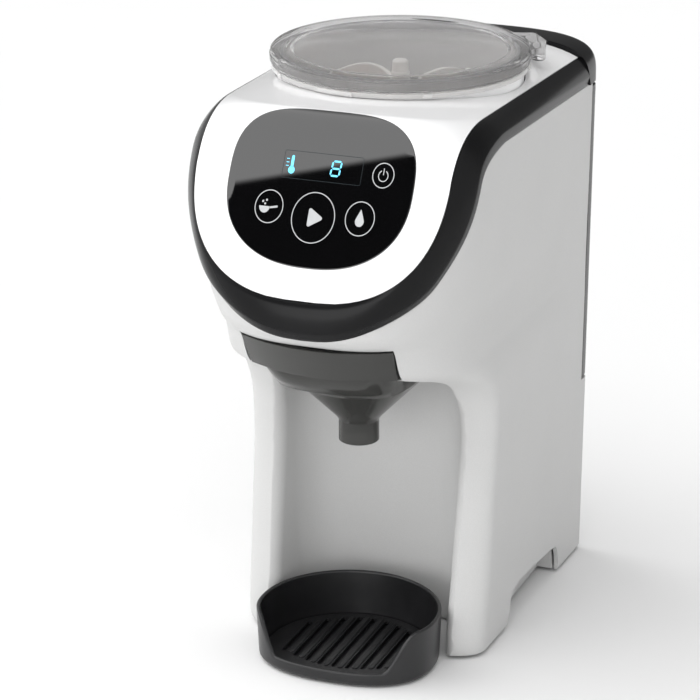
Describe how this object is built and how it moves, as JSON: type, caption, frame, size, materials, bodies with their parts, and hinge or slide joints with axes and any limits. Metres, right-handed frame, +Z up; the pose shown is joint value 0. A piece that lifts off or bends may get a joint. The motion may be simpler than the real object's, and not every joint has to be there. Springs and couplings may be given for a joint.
{
  "type": "formula dispenser",
  "caption": "Countertop formula dispenser with bottle bay, pull-out funnel and drip tray, clear powder hopper, lift-out rear water tank and leaning glass control panel.",
  "frame": {"origin": "centre of the footprint box at the height the feet stand on", "axes": "+X is the appliance's right seen from behind and the viewer's right seen from the front, -Y is the front with the control panel, +Y is the water tank, +Z is up"},
  "size_m": [0.1572, 0.2614, 0.3236],
  "materials": {
    "base_plate": "grey",
    "base_screw_1": "zinc plated",
    "base_screw_2": "zinc plated",
    "base_screw_3": "zinc plated",
    "base_screw_4": "zinc plated",
    "control_board": "green circuit board",
    "control_glass": "black glass look",
    "display_module": "dark display",
    "drip_grate": "satin black",
    "drip_tray": "satin black",
    "drive_deck": "grey",
    "drive_gear": "natural nylon",
    "drive_shaft": "turned steel",
    "foot_front_left": "soft black",
    "foot_front_right": "soft black",
    "foot_rear_left": "soft black",
    "foot_rear_right": "soft black",
    "funnel": "smoke translucent",
    "funnel_rail_left": "grey",
    "funnel_rail_right": "grey",
    "funnel_sensor": "black",
    "heater_block": "cast",
    "hopper": "clear",
    "hopper_lid": "clear",
    "hopper_socket": "glossy white",
    "hose_heater_nozzle": "silicone hose",
    "hose_pump_heater": "silicone hose",
    "hose_tank_pump": "silicone hose",
    "lid_pin_left": "steel pin",
    "lid_pin_right": "steel pin",
    "lid_seal": "translucent silicone",
    "motor_pinion": "machined brass",
    "outer_housing": "matte fine grain white",
    "powder_chute": "ivory",
    "powder_wheel": "ivory",
    "power_board": "green circuit board",
    "power_inlet": "black",
    "scraper": "salmon",
    "shaft_bearing": "sintered bronze",
    "stirrer": "ivory",
    "tank_lid": "glossy black",
    "tank_socket": "grey",
    "tank_valve": "ivory",
    "top_fascia": "glossy white",
    "trim_band": "glossy black",
    "valve_cage": "ivory",
    "valve_plunger": "black rubber",
    "valve_spring": "spring wire",
    "water_nozzle": "ivory",
    "water_pump": "grey",
    "water_tank": "smoke translucent",
    "wheel_motor": "plated can"
  },
  "bodies": {
    "housing": {"base_plate": "base_plate", "base_screw_1": "base_screw_1", "base_screw_2": "base_screw_2", "base_screw_3": "base_screw_3", "base_screw_4": "base_screw_4", "control_board": "control_board", "control_glass": "control_glass", "display_module": "display_module", "drive_deck": "drive_deck", "foot_front_left": "foot_front_left", "foot_front_right": "foot_front_right", "foot_rear_left": "foot_rear_left", "foot_rear_right": "foot_rear_right", "funnel_rail_left": "funnel_rail_left", "funnel_rail_right": "funnel_rail_right", "funnel_sensor": "funnel_sensor", "heater_block": "heater_block", "hopper_socket": "hopper_socket", "hose_heater_nozzle": "hose_heater_nozzle", "hose_pump_heater": "hose_pump_heater", "hose_tank_pump": "hose_tank_pump", "outer_housing": "outer_housing", "powder_chute": "powder_chute", "power_board": "power_board", "power_inlet": "power_inlet", "shaft_bearing": "shaft_bearing", "tank_socket": "tank_socket", "top_fascia": "top_fascia", "trim_band": "trim_band", "water_nozzle": "water_nozzle", "water_pump": "water_pump", "wheel_motor": "wheel_motor"},
    "hopper_unit": {"hopper": "hopper", "scraper": "scraper"},
    "hopper_cover": {"hopper_lid": "hopper_lid", "lid_seal": "lid_seal"},
    "dosing_wheel": {"powder_wheel": "powder_wheel", "stirrer": "stirrer"},
    "drive_shaft": {"drive_shaft": "drive_shaft", "drive_gear": "drive_gear"},
    "motor_pinion": {"motor_pinion": "motor_pinion"},
    "funnel_unit": {"funnel": "funnel"},
    "tray": {"drip_tray": "drip_tray"},
    "grate": {"drip_grate": "drip_grate"},
    "tank": {"water_tank": "water_tank", "tank_valve": "tank_valve", "valve_cage": "valve_cage", "valve_spring": "valve_spring", "lid_pin_left": "lid_pin_left", "lid_pin_right": "lid_pin_right"},
    "plunger": {"valve_plunger": "valve_plunger"},
    "tank_cover": {"tank_lid": "tank_lid"}
  },
  "joints": [
    {"name": "hopper_lift", "type": "slide", "parent": "housing", "child": "hopper_unit", "axis": [0, 0, 1], "range_m": [0, 0.09]},
    {"name": "hopper_lid_lift", "type": "slide", "parent": "hopper_unit", "child": "hopper_cover", "axis": [0, 0, 1], "range_m": [0, 0.05]},
    {"name": "wheel_spin", "type": "hinge", "parent": "hopper_unit", "child": "dosing_wheel", "pos_m": [0, 0.01646, 0.262], "axis": [0, 0, 1], "continuous": true},
    {"name": "shaft_spin", "type": "hinge", "parent": "housing", "child": "drive_shaft", "pos_m": [0, 0.01646, 0.234], "axis": [0, 0, 1], "continuous": true},
    {"name": "pinion_spin", "type": "hinge", "parent": "housing", "child": "motor_pinion", "pos_m": [0.02216, 0.04483, 0.234], "axis": [0, 0, 1], "continuous": true},
    {"name": "funnel_slide", "type": "slide", "parent": "housing", "child": "funnel_unit", "axis": [0, -1, 0], "range_m": [0, 0.12]},
    {"name": "tray_slide", "type": "slide", "parent": "housing", "child": "tray", "axis": [0, -1, 0], "range_m": [0, 0.1]},
    {"name": "grate_lift", "type": "slide", "parent": "tray", "child": "grate", "axis": [0, 0, 1], "range_m": [0, 0.03]},
    {"name": "tank_lift", "type": "slide", "parent": "housing", "child": "tank", "axis": [0, 0, 1], "range_m": [0, 0.19]},
    {"name": "tank_lid_hinge", "type": "hinge", "parent": "tank", "child": "tank_cover", "pos_m": [0, 0.12676, 0.2876], "axis": [-1, 0, 0], "range_deg": [0, 100]},
    {"name": "valve_lift", "type": "slide", "parent": "tank", "child": "plunger", "axis": [0, 0, 1], "range_m": [0, 0.003], "stiffness_N_per_m": 300, "springref_m": -0.002, "deforming": ["valve_spring"]}
  ],
  "couplings": [
    {"joint": "shaft_spin", "follows": "wheel_spin", "ratio": 1},
    {"joint": "pinion_spin", "follows": "wheel_spin", "ratio": -2}
  ]
}
